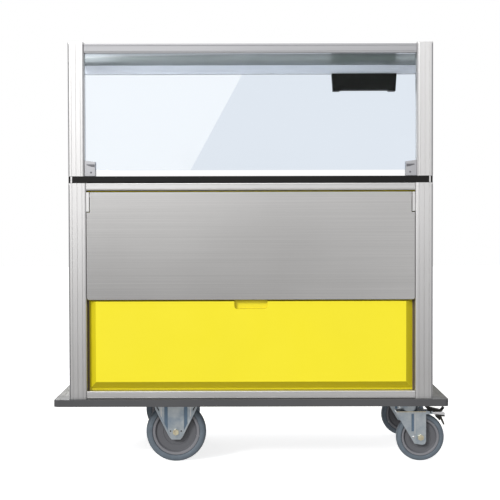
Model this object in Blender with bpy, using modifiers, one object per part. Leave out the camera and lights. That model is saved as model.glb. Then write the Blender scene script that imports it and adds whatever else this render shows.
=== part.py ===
"""Food service trolley: a serving counter on castors with a glazed canopy and a fold-up tray slide.

Metres, +Z up. The origin is on the floor, in the middle of the platform. +X runs along the
trolley to the swivel castors, -Y is the guests' side and +Y the staff's side.
"""
import math

import bmesh
import bpy
from mathutils import Matrix, Vector

# Driving dimensions
GAP = 0.0003                     # left between pieces that touch
PLATFORM = Vector((1.291, 0.770))
PLATFORM_UNDERSIDE = 0.196
PLATFORM_TOP = 0.219
DECK = 0.009                     # thickness of the deck plate inside the bumper
BUMPER = 0.020                   # width of the bumper around the deck
BUMPER_CORNER = 0.016

BODY = Vector((1.192, 0.730))    # outside of the four lower posts
FRONT = -BODY.y / 2              # plane of the posts on the guests' side
POST = 0.058                     # square section of a lower post
BODY_TOP = 0.927                 # underside of the worktop
WORKTOP_TOP = 0.949
WORKTOP_CORNER = 0.012
RAIL_DEPTH = 0.040
TOP_RAIL = 0.024                 # height of the rails under the worktop
BOTTOM_RAIL = 0.026              # height of the rails on the platform
WALL = 0.003                     # wall of the aluminium sections
GROOVE = 0.0016                  # width of the decorative grooves, twice their depth

UPPER_POST = 0.053
CAP = 0.004                      # thickness of the cap that closes an upper post
OVERALL_HEIGHT = 1.385
CANOPY_TOP = 1.380
CANOPY_UNDERSIDE = 1.349
CANOPY_LIP = 1.3185              # lower edge of the canopy's rear rail
CANOPY_BACK = FRONT + 0.430
CANOPY_RAIL = 0.030              # depth of the rear rail
SHEET = 0.0015                   # thickness of the stainless sheet parts
GLASS = 0.006
GLASS_BOTTOM = 0.969
GLASS_Y = FRONT + 0.024

PANEL_FACE = FRONT + 0.028       # plane of the front moulding behind the tray slide
PANEL_RAISED_FACE = FRONT + 0.008  # plane of its raised lower field
PANEL_BACK = FRONT + 0.040
RAISED_TOP = 0.539
SCOOP_HALF = 0.054
SCOOP_BOTTOM = 0.514

FLAP_FRONT = FRONT + 0.0015
FLAP_THICK = 0.020
FLAP_BOTTOM = 0.545
FLAP_TOP = 0.897
FLAP_HALF = 0.5366
FLAP_NECK_HALF = 0.526           # half width between the two hinge blocks
FLAP_SHOULDER = 0.8305           # height at which the flap narrows
FLAP_SKIN = 0.002
FLAP_PIVOT = Vector((0.0, FLAP_FRONT + FLAP_THICK / 2, 0.885))

DOOR_THICK = 0.018
DOOR_PIVOT = Vector((0.5285, -FRONT - 0.019))
PAN = Vector((0.325, 0.530))     # a full-size gastronorm container
PAN_PITCH = 0.333
PAN_DEPTH = 0.150
SHELF_TOP = 0.4815

CASTOR_LINE = 0.270              # distance of the castors from the middle of the trolley
FIXED_X = -0.2504
REAR_FIXED_X = -0.2900
FIXED_RADIUS = 0.100
KINGPIN_X = 0.5270
TRAIL = 0.037
SWIVEL_RADIUS = 0.080
TYRE_WIDTH = 0.040
AXLE = 0.006                     # radius of the axle bolts
TYRE_STEPS = 40
RIM_STEPS = 32
BORE_SEGMENTS = 16

UP = Vector((0, 0, 1))
COLLECTION = bpy.data.collections.new("food_service_trolley")


def clear_scene():
    for leftover in list(bpy.data.objects):
        bpy.data.objects.remove(leftover, do_unlink=True)
    bpy.context.scene.collection.children.link(COLLECTION)


def make_material(name, colour, roughness, metallic=0.0, transmission=0.0):
    material = bpy.data.materials.new(name)
    material.use_nodes = True
    shader = material.node_tree.nodes["Principled BSDF"]
    shader.inputs["Base Color"].default_value = (*colour, 1.0)
    shader.inputs["Roughness"].default_value = roughness
    shader.inputs["Metallic"].default_value = metallic
    shader.inputs["Transmission Weight"].default_value = transmission
    return material


def add_mesh(name, mesh, material):
    """Link a mesh as the object of this name, with one material and its faces pointing out."""
    mesh.name = name
    mesh.materials.clear()
    mesh.materials.append(material)
    item = bpy.data.objects.new(name, mesh)
    COLLECTION.objects.link(item)
    return item


def from_bmesh(name, bm, material):
    bmesh.ops.recalc_face_normals(bm, faces=bm.faces)
    mesh = bpy.data.meshes.new(name)
    bm.to_mesh(mesh)
    bm.free()
    return add_mesh(name, mesh, material)


def set_origin(item, point):
    """Move the object's origin to the point and leave its shape where it is."""
    item.data.transform(Matrix.Translation(-Vector(point)))
    item.location = point
    return item


def round_shading(item, angle=35):
    item.data.shade_smooth()
    item.data.set_sharp_from_angle(angle=math.radians(angle))
    return item


def box(name, low, high, material):
    bm = bmesh.new()
    bmesh.ops.create_cube(bm, size=1.0)
    low, high = Vector(low), Vector(high)
    size = high - low
    bmesh.ops.scale(bm, vec=size, verts=bm.verts)
    bmesh.ops.translate(bm, vec=low + size / 2, verts=bm.verts)
    return from_bmesh(name, bm, material)


def frustum(name, axis, base_level, base, top_level, top, material, corner=0.0):
    """A tapered block. base and top are (low, high) rectangles across the axis at two levels."""
    across = [index for index in range(3) if index != axis]
    bm = bmesh.new()
    bmesh.ops.create_cube(bm, size=2.0)
    for vert in bm.verts:
        at_top = vert.co[axis] > 0
        rectangle = top if at_top else base
        place = Vector((0, 0, 0))
        place[axis] = top_level if at_top else base_level
        for slot, index in enumerate(across):
            place[index] = rectangle[1 if vert.co[index] > 0 else 0][slot]
        vert.co = place
    if corner:
        span = abs(top_level - base_level)
        slanted = [edge for edge in bm.edges
                   if abs(edge.verts[0].co[axis] - edge.verts[1].co[axis]) > span / 2]
        bmesh.ops.bevel(bm, geom=slanted, offset=corner, segments=3, profile=0.5,
                        affect="EDGES")
    return from_bmesh(name, bm, material)


def rod(name, start, end, radius, material, segments=BORE_SEGMENTS):
    start, end = Vector(start), Vector(end)
    along = end - start
    bm = bmesh.new()
    turn = UP.rotation_difference(along).to_matrix().to_4x4()
    bmesh.ops.create_cone(bm, cap_ends=True, segments=segments, radius1=radius, radius2=radius,
                          depth=along.length, matrix=Matrix.Translation((start + end) / 2) @ turn)
    return from_bmesh(name, bm, material)


def turned(name, profile, centre, material, steps, axis="Z"):
    """Turn a profile of (radius, height) points, given down its outer side, about the axis."""
    mesh = bpy.data.meshes.new(name)
    points = [(radius, 0.0, height) for radius, height in profile]
    count = len(points)
    closed = profile[0][0] > 0
    edges = [(index, index + 1) for index in range(count - 1)]
    if closed:
        edges.append((count - 1, 0))
    mesh.from_pydata(points, edges, [])
    item = add_mesh(name, mesh, material)
    item.location = centre
    if axis == "Y":
        item.rotation_euler.x = math.pi / 2
    screw = item.modifiers.new("turn", "SCREW")
    screw.axis = "Z"
    screw.steps = steps
    screw.render_steps = steps
    screw.use_merge_vertices = True
    screw.merge_threshold = 0.00001
    bake(item)
    return round_shading(item)


def rounded_rectangle(size, corner, centre=(0.0, 0.0), steps=4, grooves=()):
    """Points around a rectangle with round corners and a V groove at each fraction of a side."""
    points = []
    for side in range(4):
        length, across = (size[0], size[1]) if side % 2 == 0 else (size[1], size[0])
        edge = []
        for fraction in grooves:
            middle = fraction * length
            edge.append((middle - GROOVE / 2, -across / 2))
            edge.append((middle, -across / 2 + GROOVE / 2))
            edge.append((middle + GROOVE / 2, -across / 2))
        for step in range(steps + 1):
            angle = -math.pi / 2 + step * math.pi / 2 / steps
            edge.append((length / 2 - corner + corner * math.cos(angle),
                         -across / 2 + corner + corner * math.sin(angle)))
        turn = Matrix.Rotation(side * math.pi / 2, 2)
        points += [turn @ Vector(point) + Vector(centre) for point in edge]
    return points


def slab(name, outlines, axis, low, high, material):
    """Extrude flat outlines along an axis. The first is the edge and the others are holes.

    An outline across Z is in (x, y), one across Y in (x, z) and one across X in (y, z).
    """
    curve = bpy.data.curves.new(name, "CURVE")
    curve.dimensions = "2D"
    curve.fill_mode = "BOTH"
    curve.extrude = (high - low) / 2
    for outline in outlines:
        spline = curve.splines.new("POLY")
        spline.points.add(len(outline) - 1)
        for point, place in zip(spline.points, outline):
            point.co = (place[0], place[1], 0.0, 1.0)
        spline.use_cyclic_u = True
    drawing = bpy.data.objects.new(name, curve)
    COLLECTION.objects.link(drawing)
    graph = bpy.context.evaluated_depsgraph_get()
    mesh = bpy.data.meshes.new_from_object(drawing.evaluated_get(graph))
    bpy.data.objects.remove(drawing)
    columns = {"Z": ((1, 0, 0), (0, 1, 0), (0, 0, 1)),
               "Y": ((1, 0, 0), (0, 0, 1), (0, -1, 0)),
               "X": ((0, 1, 0), (0, 0, 1), (1, 0, 0))}[axis]
    turn = Matrix(columns).transposed().to_4x4()
    lift = Vector((0, 0, 0))
    lift["XYZ".index(axis)] = (low + high) / 2
    mesh.transform(Matrix.Translation(lift) @ turn)
    bm = bmesh.new()
    bm.from_mesh(mesh)
    bmesh.ops.remove_doubles(bm, verts=bm.verts, dist=0.00001)
    return from_bmesh(name, bm, material)


def bake(item):
    """Replace the object's mesh with its evaluated mesh and drop its modifiers."""
    graph = bpy.context.evaluated_depsgraph_get()
    mesh = bpy.data.meshes.new_from_object(item.evaluated_get(graph))
    item.modifiers.clear()
    item.data = mesh


def combine(item, operation, others):
    """Join the others to the object, or cut them out of it, and remove them."""
    for other in others:
        boolean = item.modifiers.new(operation.lower(), "BOOLEAN")
        boolean.operation = operation
        boolean.solver = "EXACT"
        boolean.object = other
    bake(item)
    for other in others:
        bpy.data.objects.remove(other, do_unlink=True)
    return item


def fuse(item, *others):
    return combine(item, "UNION", others)


def cut(item, *others):
    return combine(item, "DIFFERENCE", others)


ALUMINIUM = make_material("aluminium", (0.72, 0.71, 0.71), 0.35, 0.9)
STAINLESS = make_material("stainless", (0.62, 0.61, 0.60), 0.30, 1.0)
YELLOW = make_material("yellow_moulding", (0.87, 0.76, 0.04), 0.35)
LAMINATE = make_material("dark_laminate", (0.04, 0.038, 0.036), 0.45)
BUMPER_GREY = make_material("bumper_grey", (0.11, 0.11, 0.115), 0.5)
BLACK = make_material("black_plastic", (0.025, 0.024, 0.02), 0.5)
CLEAR = make_material("clear_glass", (0.85, 0.92, 0.98), 0.02, 0.0, 1.0)
ZINC = make_material("zinc_plate", (0.55, 0.60, 0.63), 0.35, 1.0)
RUBBER = make_material("grey_rubber", (0.13, 0.16, 0.19), 0.7)
RIM = make_material("rim_grey", (0.2, 0.2, 0.21), 0.5)
BRASS = make_material("yellow_passivated", (0.65, 0.55, 0.32), 0.35, 1.0)


def section(name, axis, low, high, material=ALUMINIUM, corner=0.0024, grooves=(-0.3, 0.3)):
    """A hollow aluminium section that fills the box between low and high along the axis."""
    across = [index for index in range(3) if "XYZ"[index] != axis]
    size = [high[index] - low[index] for index in across]
    centre = [(high[index] + low[index]) / 2 for index in across]
    edge = rounded_rectangle(size, corner, centre, steps=3, grooves=grooves)
    bore = rounded_rectangle([side - 2 * WALL for side in size], 0.001, centre, steps=1)
    along = "XYZ".index(axis)
    return round_shading(slab(name, [edge, bore], axis, low[along], high[along], material))


def build_platform():
    inner = PLATFORM - Vector((2 * BUMPER, 2 * BUMPER))
    deck_size = inner - Vector((2 * GAP, 2 * GAP))
    slab("platform_deck", [rounded_rectangle(deck_size, 0.004)], "Z",
         PLATFORM_TOP - DECK, PLATFORM_TOP, BUMPER_GREY)
    ring = slab("bumper_frame", [rounded_rectangle(PLATFORM, BUMPER_CORNER, steps=6),
                                 rounded_rectangle(inner, 0.004)], "Z",
                PLATFORM_UNDERSIDE, PLATFORM_TOP, BUMPER_GREY)
    round_shading(ring)


def build_lower_frame():
    half = BODY / 2
    low_z = PLATFORM_TOP + GAP
    high_z = BODY_TOP - GAP
    for side_name, side in (("left", -1), ("right", 1)):
        for end_name, end in (("front", -1), ("rear", 1)):
            centre = Vector((side * (half.x - POST / 2), end * (half.y - POST / 2)))
            low = (centre.x - POST / 2, centre.y - POST / 2, low_z)
            high = (centre.x + POST / 2, centre.y + POST / 2, high_z)
            section(f"lower_post_{end_name}_{side_name}", "Z", low, high, corner=0.005,
                    grooves=(-0.28, 0.0, 0.28))
        inside = half.y - POST - GAP
        outer = side * half.x
        inner = side * (half.x - POST)
        section(f"side_top_rail_{side_name}", "Y",
                (min(outer, inner), -inside, high_z - TOP_RAIL), (max(outer, inner), inside, high_z))
    reach = half.x - POST - GAP
    front = FRONT + 0.001
    for end_name, near in (("front", front), ("rear", -front - RAIL_DEPTH)):
        top_rail = section(f"{end_name}_top_rail", "X", (-reach, near, high_z - TOP_RAIL),
                           (reach, near + RAIL_DEPTH, high_z))
        bottom_rail = section(f"{end_name}_bottom_rail", "X", (-reach, near, low_z),
                              (reach, near + RAIL_DEPTH, low_z + BOTTOM_RAIL))
        if end_name == "rear":
            for rail, middle in ((top_rail, high_z - TOP_RAIL), (bottom_rail, low_z + BOTTOM_RAIL)):
                cut(rail, *[rod("bore", (side * DOOR_PIVOT.x, DOOR_PIVOT.y, middle - 0.010),
                                (side * DOOR_PIVOT.x, DOOR_PIVOT.y, middle + 0.010), 0.0054, ZINC)
                            for side in (-1, 1)])


def build_front_panel():
    low_z = PLATFORM_TOP + BOTTOM_RAIL + 3 * GAP
    high_z = BODY_TOP - TOP_RAIL - 3 * GAP
    half = BODY.x / 2 - POST - 0.0006
    panel = box("front_panel", (-half, PANEL_FACE, low_z), (half, PANEL_BACK, high_z), YELLOW)
    raised = frustum("raised_field", 1, PANEL_FACE + 0.002, ((-0.532, 0.2490), (0.532, 0.5412)),
                     PANEL_RAISED_FACE, ((-0.509, 0.2745), (0.509, RAISED_TOP)), YELLOW)
    fuse(panel, raised)
    corner = 0.010
    scoop_outline = [(-SCOOP_HALF, FLAP_BOTTOM + 0.01)]
    for middle, first in ((-SCOOP_HALF + corner, math.pi), (SCOOP_HALF - corner, 1.5 * math.pi)):
        for step in range(5):
            angle = first + step * math.pi / 8
            scoop_outline.append((middle + corner * math.cos(angle),
                                  SCOOP_BOTTOM + corner + corner * math.sin(angle)))
    scoop_outline.append((SCOOP_HALF, FLAP_BOTTOM + 0.01))
    scoop = slab("scoop", [scoop_outline], "Y", PANEL_RAISED_FACE - 0.005, PANEL_FACE - 0.003, YELLOW)
    cut(panel, scoop)


def build_side_panels():
    half_depth = BODY.y / 2 - POST - GAP
    low_z = PLATFORM_TOP + GAP
    high_z = BODY_TOP - TOP_RAIL - 3 * GAP
    for side_name, side in (("left", -1), ("right", 1)):
        inner, outer = side * 0.566, side * 0.578
        panel = box(f"side_panel_{side_name}", (min(inner, outer), -half_depth, low_z),
                    (max(inner, outer), half_depth, high_z), YELLOW)
        raised = frustum("raised_field", 0, side * 0.576, ((-0.287, 0.245), (0.287, 0.885)),
                         side * 0.590, ((-0.269, 0.265), (0.269, 0.865)), YELLOW)
        reach = side * 0.532
        ledge = box("ledge", (min(reach, inner + side * 0.004), -0.275, SHELF_TOP - 0.024),
                    (max(reach, inner + side * 0.004), 0.275, SHELF_TOP - 0.003 - GAP), YELLOW)
        fuse(panel, raised, ledge)


def build_cabinet_inside():
    box("cabinet_shelf", (-0.562, -0.304, SHELF_TOP - 0.003), (0.562, 0.304, SHELF_TOP), STAINLESS)
    tub = box("well_tub", (-0.520, -0.283, 0.752), (0.520, 0.283, BODY_TOP - GAP), STAINLESS)
    cut(tub, box("inside", (-0.518, -0.281, 0.754), (0.518, 0.281, BODY_TOP + 0.01), STAINLESS))


def build_worktop():
    outlines = [rounded_rectangle(BODY, WORKTOP_CORNER, steps=5)]
    for index in (-1, 0, 1):
        outlines.append(rounded_rectangle((0.307, 0.512), 0.030, (index * PAN_PITCH, 0.0)))
    round_shading(slab("worktop", outlines, "Z", BODY_TOP, WORKTOP_TOP, LAMINATE))


def build_pans():
    """Three containers that hang by their rims in the worktop's openings and lift out."""
    for label, index in (("left", -1), ("middle", 0), ("right", 1)):
        x = index * PAN_PITCH
        rim_z = WORKTOP_TOP + GAP
        floor_z = rim_z + SHEET - PAN_DEPTH
        top = ((x - 0.150, -0.2525), (x + 0.150, 0.2525))
        floor = ((x - 0.140, -0.2425), (x + 0.140, 0.2425))
        pan = slab(f"food_pan_{label}", [rounded_rectangle(PAN, 0.014, (x, 0.0))], "Z",
                   rim_z, rim_z + SHEET, STAINLESS)
        body = frustum("body", 2, floor_z, floor, rim_z + SHEET / 2, top, STAINLESS, 0.028)
        fuse(pan, body)
        wall = Vector((SHEET, SHEET))
        inside_top = (Vector(top[0]) + wall, Vector(top[1]) - wall)
        inside_floor = (Vector(floor[0]) + wall, Vector(floor[1]) - wall)
        inside = frustum("inside", 2, floor_z + SHEET, inside_floor, rim_z + SHEET / 2,
                         inside_top, STAINLESS, 0.0265)
        mouth = frustum("mouth", 2, rim_z + SHEET / 4, inside_top, rim_z + 2 * SHEET,
                        inside_top, STAINLESS, 0.0265)
        cut(pan, inside, mouth)
        round_shading(pan)
        set_origin(pan, (x, 0.0, rim_z))


def build_upper_frame():
    half = BODY / 2
    post_back = FRONT + UPPER_POST
    inner = half.x - UPPER_POST
    for side_name, side in (("left", -1), ("right", 1)):
        outer = side * half.x
        low_x, high_x = min(outer, side * inner), max(outer, side * inner)
        post = section(f"upper_post_{side_name}", "Z", (low_x, FRONT, WORKTOP_TOP + GAP),
                       (high_x, post_back, OVERALL_HEIGHT - CAP / 2), corner=0.005,
                       grooves=(-0.28, 0.0, 0.28))
        cap = rounded_rectangle((UPPER_POST - 0.0012, UPPER_POST - 0.0012), 0.0045,
                                ((low_x + high_x) / 2, (FRONT + post_back) / 2))
        fuse(post, slab("cap", [cap], "Z", OVERALL_HEIGHT - CAP, OVERALL_HEIGHT, ALUMINIUM))
        section(f"canopy_side_rail_{side_name}", "Y",
                (low_x, post_back + GAP, CANOPY_UNDERSIDE + SHEET + GAP),
                (high_x, CANOPY_BACK - CANOPY_RAIL - GAP, CANOPY_TOP))
    reach = inner - 2 * GAP
    rail_back = FRONT + RAIL_DEPTH
    section("canopy_front_rail", "X", (-reach, FRONT + 0.002, CANOPY_UNDERSIDE),
            (reach, rail_back, CANOPY_TOP))
    section("canopy_rear_rail", "X", (-half.x, CANOPY_BACK - CANOPY_RAIL, CANOPY_LIP),
            (half.x, CANOPY_BACK, CANOPY_TOP))
    wide = half.x - GAP
    front, shoulder, back = rail_back + GAP, post_back + GAP, CANOPY_BACK - CANOPY_RAIL - GAP
    outline = [(-reach, front), (reach, front), (reach, shoulder), (wide, shoulder),
               (wide, back), (-wide, back), (-wide, shoulder), (-reach, shoulder)]
    slab("canopy_panel", [outline], "Z", CANOPY_UNDERSIDE, CANOPY_UNDERSIDE + SHEET, STAINLESS)


def build_glazing():
    inner = BODY.x / 2 - UPPER_POST
    box("glass_pane", (-inner + 0.001, GLASS_Y - GLASS / 2, GLASS_BOTTOM),
        (inner - 0.001, GLASS_Y + GLASS / 2, CANOPY_UNDERSIDE - GAP), CLEAR)
    for side_name, side in (("left", -1), ("right", 1)):
        outline = [(side * (inner - 0.035), WORKTOP_TOP + GAP), (side * (inner - GAP), WORKTOP_TOP + GAP),
                   (side * (inner - GAP), 1.001), (side * (inner - 0.035), 0.996)]
        clamp = slab(f"glass_clamp_{side_name}", [outline], "Y", FRONT + 0.006, FRONT + 0.042, ALUMINIUM)
        slot = box("slot", (-inner, GLASS_Y - GLASS / 2 - GAP, GLASS_BOTTOM - GAP),
                   (inner, GLASS_Y + GLASS / 2 + GAP, 1.1), ALUMINIUM)
        cut(clamp, slot)


def build_control_box():
    """The switch housing under the canopy's rear rail, with a push button on the staff's side."""
    low_x, high_x, top, low, cap = 0.2875, 0.5155, CANOPY_LIP - GAP, 1.2600, 0.0033
    outline = [(low_x, top), (low_x + 0.004, low - cap), (low_x + 0.027, low - cap),
               (low_x + 0.031, low), (high_x - 0.031, low), (high_x - 0.027, low - cap),
               (high_x - 0.004, low - cap), (high_x, top)]
    housing = slab("control_box", [outline], "Y", CANOPY_BACK - 0.048, CANOPY_BACK - 0.002, BLACK)
    centre = ((low_x + high_x) / 2, 1.288)
    cut(housing, rod("bore", (centre[0], CANOPY_BACK - 0.016, centre[1]), (centre[0], CANOPY_BACK + 0.010, centre[1]), 0.0094,
                     BLACK, 24))
    button = rod("power_button", (centre[0], CANOPY_BACK - 0.0115, centre[1]), (centre[0], CANOPY_BACK + 0.002, centre[1]), 0.009,
                 ALUMINIUM, 24)
    round_shading(button)
    set_origin(button, (centre[0], CANOPY_BACK - 0.002, centre[1]))


def flap_outline(inset):
    """The tray slide's outline with its two upper notches, drawn in by the inset."""
    neck = FLAP_NECK_HALF - inset
    wide = FLAP_HALF - inset
    low = FLAP_BOTTOM + inset
    high = FLAP_TOP - inset
    shoulder = FLAP_SHOULDER - inset
    corner = 0.006
    right = [(wide - corner, low), (wide - 0.3 * corner, low + 0.3 * corner), (wide, low + corner),
             (wide, shoulder), (neck, shoulder), (neck, high)]
    return right + [(-x, z) for x, z in reversed(right)]


def build_tray_flap():
    back = FLAP_FRONT + FLAP_THICK
    flap = slab("tray_flap", [flap_outline(0.0)], "Y", FLAP_FRONT, back, STAINLESS)
    pocket = slab("pocket", [flap_outline(FLAP_SKIN)], "Y", FLAP_FRONT + FLAP_SKIN, back + 0.01,
                  STAINLESS)
    pivot = FLAP_PIVOT
    bores = [rod("bore", (side * (FLAP_NECK_HALF - 0.006), pivot.y, pivot.z),
                 (side * (FLAP_NECK_HALF + 0.006), pivot.y, pivot.z), 0.0044, ZINC)
             for side in (-1, 1)]
    cut(flap, pocket, *bores)
    set_origin(flap, pivot)
    post_face = BODY.x / 2 - POST - GAP
    for side_name, side in (("left", -1), ("right", 1)):
        inner = side * (FLAP_NECK_HALF + 0.0025)
        block = box(f"flap_hinge_block_{side_name}",
                    (min(inner, side * post_face), FLAP_FRONT, FLAP_SHOULDER + 0.003),
                    (max(inner, side * post_face), back, FLAP_TOP), ALUMINIUM)
        fuse(block, rod("stud", (inner + side * 0.004, pivot.y, pivot.z),
                        (side * (FLAP_NECK_HALF - 0.008), pivot.y, pivot.z), 0.004, ZINC))


def build_doors():
    low_z = PLATFORM_TOP + BOTTOM_RAIL + 0.002
    high_z = BODY_TOP - TOP_RAIL - 0.002
    half = DOOR_THICK / 2
    for side_name, side in (("left", -1), ("right", 1)):
        pivot = Vector((side * DOOR_PIVOT.x, DOOR_PIVOT.y))
        outline = [(side * 0.0015, pivot.y - half), (side * 0.0015, pivot.y + half)]
        for step in range(9):
            angle = math.pi / 2 - step * math.pi / 8
            outline.append((pivot.x + side * half * math.cos(angle), pivot.y + half * math.sin(angle)))
        door = slab(f"door_{side_name}", [outline], "Z", low_z, high_z, YELLOW)
        fuse(door, rod("stud", (pivot.x, pivot.y, high_z - 0.010), (pivot.x, pivot.y, high_z + 0.010),
                       0.005, ZINC),
             rod("stud", (pivot.x, pivot.y, low_z - 0.010), (pivot.x, pivot.y, low_z + 0.010),
                 0.005, ZINC))
        round_shading(door)
        set_origin(door, (pivot.x, pivot.y, low_z))
        build_door_handle(f"door_handle_{side_name}", side * 0.045, pivot.y + half + GAP)


def build_door_handle(name, x, face_y):
    """A bow handle bent from round bar, standing on the door's outer face."""
    low_z, high_z, reach, radius = 0.610, 0.770, 0.0235, 0.0045
    bend = 0.012
    path = [(x, face_y, low_z), (x, face_y + reach - bend, low_z)]
    for start, centre_z in ((-math.pi / 2, low_z + bend), (0.0, high_z - bend)):
        for step in range(1, 5):
            angle = start + step * math.pi / 8
            path.append((x, face_y + reach - bend + bend * math.cos(angle),
                         centre_z + bend * math.sin(angle)))
    path.append((x, face_y, high_z))
    curve = bpy.data.curves.new(name, "CURVE")
    curve.dimensions = "3D"
    curve.bevel_depth = radius
    curve.bevel_resolution = 2
    curve.use_fill_caps = True
    spline = curve.splines.new("POLY")
    spline.points.add(len(path) - 1)
    for point, place in zip(spline.points, path):
        point.co = (*place, 1.0)
    drawing = bpy.data.objects.new(name, curve)
    COLLECTION.objects.link(drawing)
    graph = bpy.context.evaluated_depsgraph_get()
    mesh = bpy.data.meshes.new_from_object(drawing.evaluated_get(graph))
    bpy.data.objects.remove(drawing)
    bm = bmesh.new()
    bm.from_mesh(mesh)
    bmesh.ops.remove_doubles(bm, verts=bm.verts, dist=0.00001)
    round_shading(from_bmesh(name, bm, STAINLESS), 60)


def build_wheel(prefix, centre, radius):
    """A rubber tyre on a moulded rim. Both turn about the object origins."""
    seat = radius * 0.786
    lip = radius * 0.70
    half = TYRE_WIDTH / 2
    tyre = [(seat + GAP, 0.0165), (radius * 0.84, half), (radius * 0.93, half * 0.96),
            (radius * 0.985, half * 0.62), (radius, 0.0), (radius * 0.985, -half * 0.62),
            (radius * 0.93, -half * 0.96), (radius * 0.84, -half), (seat + GAP, -0.0165)]
    turned(f"{prefix}_tyre", tyre, centre, RUBBER, TYRE_STEPS, "Y")
    bore, boss, disc = AXLE + 0.0004, 0.016, 0.007
    upper = [(bore, 0.0225), (boss, 0.0225), (boss + 0.003, disc), (lip - 0.004, disc),
             (lip, 0.0155), (seat, 0.0155)]
    rim = upper + [(r, -h) for r, h in reversed(upper)]
    turned(f"{prefix}_rim", rim, centre, RIM, RIM_STEPS, "Y")


def build_axle(name, centre, reach):
    """An axle bolt with a hexagon at each end, outside the fork's cheeks."""
    x, y, z = centre
    axle = rod(name, (x, y - reach - 0.004, z), (x, y + reach + 0.004, z), AXLE, BRASS)
    heads = [rod("hexagon", (x, y + side * (reach + GAP), z), (x, y + side * (reach + 0.0075), z),
                 0.0105, BRASS, 6) for side in (-1, 1)]
    fuse(axle, *heads)
    set_origin(axle, centre)


def cheek(name, y, side, outline, bore_centre, material):
    """One side plate of a fork, 3 mm thick, with its outer face on the given side."""
    plate = slab(name, [outline], "Y", min(y, y + side * WALL), max(y, y + side * WALL), material)
    x, z = bore_centre
    cut(plate, rod("bore", (x, y - 0.01, z), (x, y + 0.01, z), AXLE + GAP, material))
    return plate


def build_fixed_castor(prefix, x, y):
    axle_z = FIXED_RADIUS
    top = PLATFORM_TOP - DECK - GAP
    slot = 0.0245                # inner face of a cheek from the castor's middle
    right = [(0.0145, 0.075), (0.0215, 0.083), (0.070, 0.180), (0.070, top - 0.002)]
    outline = [(x + px, pz) for px, pz in right] + [(x - px, pz) for px, pz in reversed(right)]
    fork = box(f"{prefix}_fork", (x - 0.075, y - 0.052, top - 0.004), (x + 0.075, y + 0.052, top),
               ZINC)
    pieces = []
    for side in (-1, 1):
        face = y + side * slot
        pieces.append(cheek("cheek", face, side, outline, (x, axle_z), ZINC))
        low_y, high_y = sorted((face + side * 0.001, face + side * (WALL + 0.0025)))
        spine = [(x - 0.013, 0.080), (x + 0.013, 0.080), (x + 0.0263, 0.104), (x + 0.0263, top - 0.001),
                 (x - 0.0263, top - 0.001), (x - 0.0263, 0.104)]
        raised = slab("spine", [spine], "Y", low_y, high_y, ZINC)
        cut(raised, rod("bore", (x, face - 0.02, axle_z), (x, face + 0.02, axle_z), AXLE + GAP, ZINC))
        pieces.append(raised)
        for edge in (-1, 1):
            flange = [(x + edge * 0.0190, 0.086), (x + edge * 0.0235, 0.0865),
                      (x + edge * 0.0695, 0.1785), (x + edge * 0.0640, 0.1785)]
            pieces.append(slab("flange", [flange], "Y", low_y, high_y, ZINC))
    fuse(fork, *pieces)
    build_axle(f"{prefix}_axle", (x, y, axle_z), slot + WALL + 0.0025 + GAP)
    build_wheel(prefix, (x, y, axle_z), FIXED_RADIUS)


def build_swivel_castor(prefix, x, y):
    plate_top = PLATFORM_TOP - DECK - GAP
    crown_top, crown = 0.1675, 0.006
    plate = box(f"{prefix}_top_plate", (x - 0.0525, y - 0.0425, plate_top - 0.006),
                (x + 0.0525, y + 0.0425, plate_top), ZINC)
    race = [(0.0, plate_top - 0.003), (0.036, plate_top - 0.003), (0.036, plate_top - 0.012),
            (0.031, crown_top + 0.006), (0.029, crown_top + GAP), (0.0065, crown_top + GAP),
            (0.0065, crown_top - crown - GAP), (0.010, crown_top - crown - GAP),
            (0.010, crown_top - crown - 0.006), (0.0, crown_top - crown - 0.006)]
    fuse(plate, turned("race", race, (x, y, 0.0), ZINC, 24))
    set_origin(plate, (x, y, plate_top))
    axle_x, axle_z = x + TRAIL, SWIVEL_RADIUS
    slot = 0.0245
    pivot = Vector((x + 0.070, y, crown_top - 0.003))
    fork = box(f"{prefix}_fork", (x - 0.0435, y - slot - WALL, crown_top - crown),
               (x + 0.0550, y + slot + WALL, crown_top), ZINC)
    cut(fork, rod("bore", (x, y, crown_top - 0.02), (x, y, crown_top + 0.02), 0.0070, ZINC))
    corner = 0.012
    outline = [(x - 0.0433, crown_top - 0.001), (x - 0.0433, crown_top - 0.009),
               (axle_x - 0.0205, axle_z - 0.0205)]
    outline += [(axle_x + 0.0180 - corner + corner * math.cos(angle),
                 axle_z - 0.0247 + corner + corner * math.sin(angle))
                for angle in (-math.pi / 2, -math.pi / 4, 0.0)]
    outline.append((axle_x + 0.0180, crown_top - 0.001))
    pieces = []
    for side in (-1, 1):
        face = y + side * slot
        pieces.append(cheek("cheek", face, side, outline, (axle_x, axle_z), ZINC))
        low_y, high_y = sorted((face + side * 0.001, face + side * (WALL + 0.002)))
        pieces.append(box("rib", (axle_x - 0.0320, low_y, 0.100), (axle_x - 0.0150, high_y, 0.1600),
                          ZINC))
        low_y, high_y = sorted((y + side * 0.0225, y + side * (slot + WALL)))
        lug = box("lug", (x + 0.050, low_y, crown_top - 0.010), (x + 0.0765, high_y, crown_top), ZINC)
        cut(lug, rod("bore", (pivot.x, y - 0.05, pivot.z), (pivot.x, y + 0.05, pivot.z), 0.0028, ZINC))
        pieces.append(lug)
    fuse(fork, *pieces)
    set_origin(fork, (x, y, crown_top))
    build_axle(f"{prefix}_axle", (axle_x, y, axle_z), slot + WALL + GAP)
    build_wheel(prefix, (axle_x, y, axle_z), SWIVEL_RADIUS)
    build_brake_pedal(f"{prefix}_brake_pedal", x, y, pivot, Vector((axle_x, y, axle_z)))


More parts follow.
